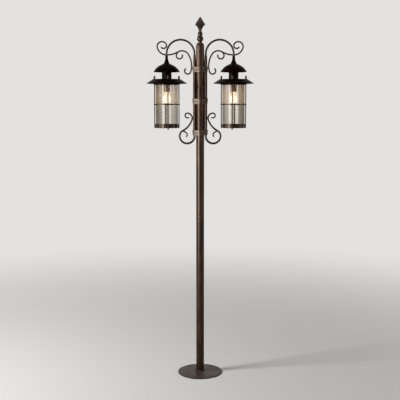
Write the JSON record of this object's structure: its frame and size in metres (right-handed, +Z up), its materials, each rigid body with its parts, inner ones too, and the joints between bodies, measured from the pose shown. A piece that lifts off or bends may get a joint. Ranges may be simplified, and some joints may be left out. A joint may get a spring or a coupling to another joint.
{
  "type": "outdoor post light",
  "caption": "Tall round iron post on a disc foot, with side tubes arching over to hanging glass lanterns under tiered roofs, forged scrolls and a spear finial.",
  "frame": {"origin": "centre of the foot plate's underside, on the post's axis", "axes": "+Z up along the post, X along the line through both lanterns, front towards -Y"},
  "size_m": [0.751, 0.32, 2.547],
  "materials": {
    "post_iron": "satin, antique brown",
    "collar_iron": "satin, antique brown",
    "base_iron": "matte, antique brown",
    "scroll_iron": "satin, brown-black",
    "roof_iron": "satin, brown-black",
    "cage_iron": "satin, brown-black",
    "steel": "zinc plated",
    "clear_glass": "clear",
    "bulb_glass": "frosted, lit warm white",
    "lamp_brass": "rolled thread",
    "holder_ceramic": "brown glaze",
    "seal_rubber": "matte",
    "cable_rubber": "matte",
    "inner_plastic": "matte"
  },
  "bodies": {
    "post": {"base_plate": "base_iron", "foot_weld": "base_iron", "post_tube": "post_iron", "post_cap": "post_iron", "finial_lower_bead": "post_iron", "finial_upper_bead": "post_iron", "finial_spear": "post_iron", "finial_stud": "steel", "lower_collar": "collar_iron", "middle_collar": "collar_iron", "upper_collar": "collar_iron", "terminal_carrier": "inner_plastic", "terminal_block": "inner_plastic", "left_side_tube": "post_iron", "left_arch_arm": "scroll_iron", "left_s_scroll": "scroll_iron", "left_outer_curl": "scroll_iron", "left_lower_scroll": "scroll_iron", "left_arm_cable": "cable_rubber", "left_lantern_neck": "roof_iron", "left_upper_roof": "roof_iron", "left_chimney": "roof_iron", "left_lower_roof": "roof_iron", "left_glass_gallery": "roof_iron", "left_nipple": "steel", "left_roof_seal": "seal_rubber", "left_cap_nuts": "cage_iron", "left_lampholder": "holder_ceramic", "left_lamp_contacts": "lamp_brass", "right_side_tube": "post_iron", "right_arch_arm": "scroll_iron", "right_s_scroll": "scroll_iron", "right_outer_curl": "scroll_iron", "right_lower_scroll": "scroll_iron", "right_arm_cable": "cable_rubber", "right_lantern_neck": "roof_iron", "right_upper_roof": "roof_iron", "right_chimney": "roof_iron", "right_lower_roof": "roof_iron", "right_glass_gallery": "roof_iron", "right_nipple": "steel", "right_roof_seal": "seal_rubber", "right_cap_nuts": "cage_iron", "right_lampholder": "holder_ceramic", "right_lamp_contacts": "lamp_brass"},
    "left_cage": {"left_cage_rods": "cage_iron", "left_cage_ring": "cage_iron", "left_tray": "cage_iron", "left_tray_seal": "seal_rubber", "left_lantern_glass": "clear_glass"},
    "left_bulb": {"left_bulb_glass": "bulb_glass", "left_bulb_cap": "lamp_brass"},
    "right_cage": {"right_cage_rods": "cage_iron", "right_cage_ring": "cage_iron", "right_tray": "cage_iron", "right_tray_seal": "seal_rubber", "right_lantern_glass": "clear_glass"},
    "right_bulb": {"right_bulb_glass": "bulb_glass", "right_bulb_cap": "lamp_brass"}
  },
  "joints": [
    {"name": "left_cage_drop", "type": "slide", "parent": "post", "child": "left_cage", "axis": [0, 0, -1], "range_m": [0, 0.18]},
    {"name": "left_bulb_turn", "type": "hinge", "parent": "post", "child": "left_bulb", "pos_m": [-0.234, 0, 2.0361], "axis": [0, 0, -1], "range_deg": [0, 1800]},
    {"name": "right_cage_drop", "type": "slide", "parent": "post", "child": "right_cage", "axis": [0, 0, -1], "range_m": [0, 0.18]},
    {"name": "right_bulb_turn", "type": "hinge", "parent": "post", "child": "right_bulb", "pos_m": [0.234, 0, 2.0361], "axis": [0, 0, -1], "range_deg": [0, 1800]}
  ]
}
